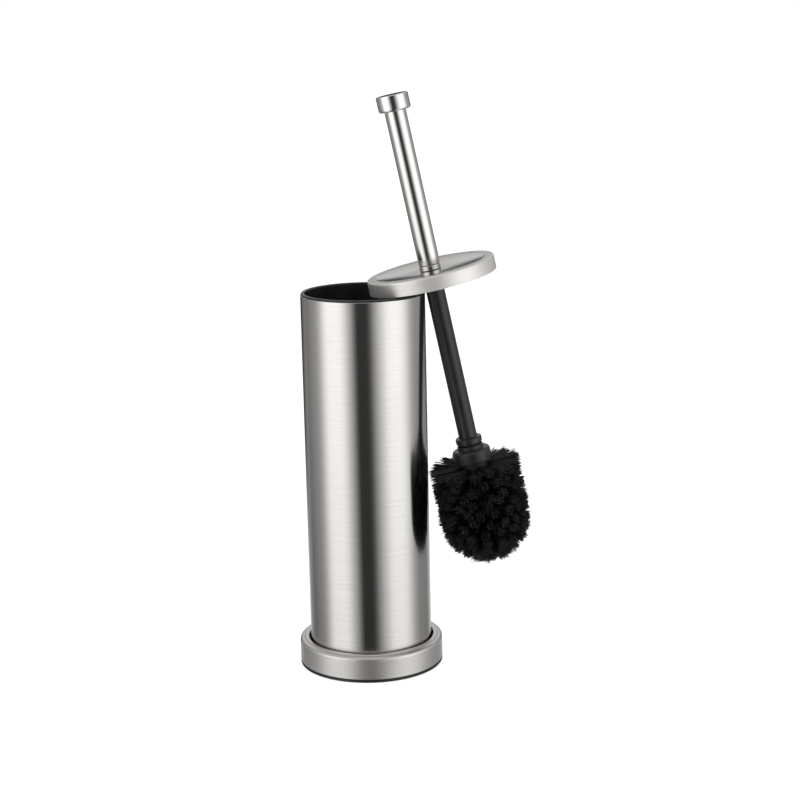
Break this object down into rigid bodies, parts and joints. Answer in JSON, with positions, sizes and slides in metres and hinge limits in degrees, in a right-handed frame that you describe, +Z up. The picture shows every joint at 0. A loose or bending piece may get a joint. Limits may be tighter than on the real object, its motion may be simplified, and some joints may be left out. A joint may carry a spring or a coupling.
{
  "type": "toilet brush holder",
  "caption": "Lidded toilet brush hung by its lid on the rim of a tall round steel canister with a lift-out liner and a stepped plinth.",
  "frame": {"origin": "centre of the canister's foot, on the floor", "axes": "+Z up along the canister's axis; the brush hangs on the +X side, its lid lying across the rim"},
  "size_m": [0.162, 0.099, 0.3924],
  "materials": {
    "brushed_shell_steel": "satin, fine vertical grain",
    "satin_steel": "satin",
    "polished_steel": "polished",
    "chrome_cap": "mirror",
    "zinc_plated_steel": "zinc plated",
    "black_plastic": "moulded, satin",
    "satin_black_plastic": "moulded, soft gloss",
    "black_rubber": "matt",
    "nylon_filament": "crimped filament tufts"
  },
  "bodies": {
    "canister": {"outer_shell": "brushed_shell_steel", "plinth_cover": "satin_steel", "base_plate": "black_plastic", "anti_slip_pad": "black_rubber"},
    "liner": {"liner_bucket": "black_plastic"},
    "brush": {"lid_cover": "satin_steel", "lid_insert": "black_plastic", "handle_collar": "polished_steel", "handle_tube": "polished_steel", "handle_insert": "black_plastic", "cap_plug": "black_plastic", "end_cap": "chrome_cap", "threaded_stud": "zinc_plated_steel", "lower_shaft": "satin_black_plastic"},
    "washer": {"neck_washer": "black_rubber"},
    "head": {"head_core": "satin_black_plastic", "bristles": "nylon_filament"}
  },
  "joints": [
    {"name": "liner_lift", "type": "slide", "parent": "canister", "child": "liner", "axis": [0, 0, 1], "range_m": [0, 0.25]},
    {"name": "brush_lift", "type": "slide", "parent": "liner", "child": "brush", "axis": [0, 0, 1], "range_m": [0, 0.2]},
    {"name": "head_back_off", "type": "slide", "parent": "brush", "child": "washer", "axis": [0.1995, 0, -0.9799], "range_m": [0, 0.0151]},
    {"name": "head_unscrew", "type": "hinge", "parent": "washer", "child": "head", "pos_m": [0.04767, 0, 0.26601], "axis": [0.1995, 0, -0.9799], "range_deg": [0, 1800]}
  ],
  "couplings": [
    {"joint": "head_back_off", "follows": "head_unscrew", "m_per_rad": 0.00047746}
  ]
}
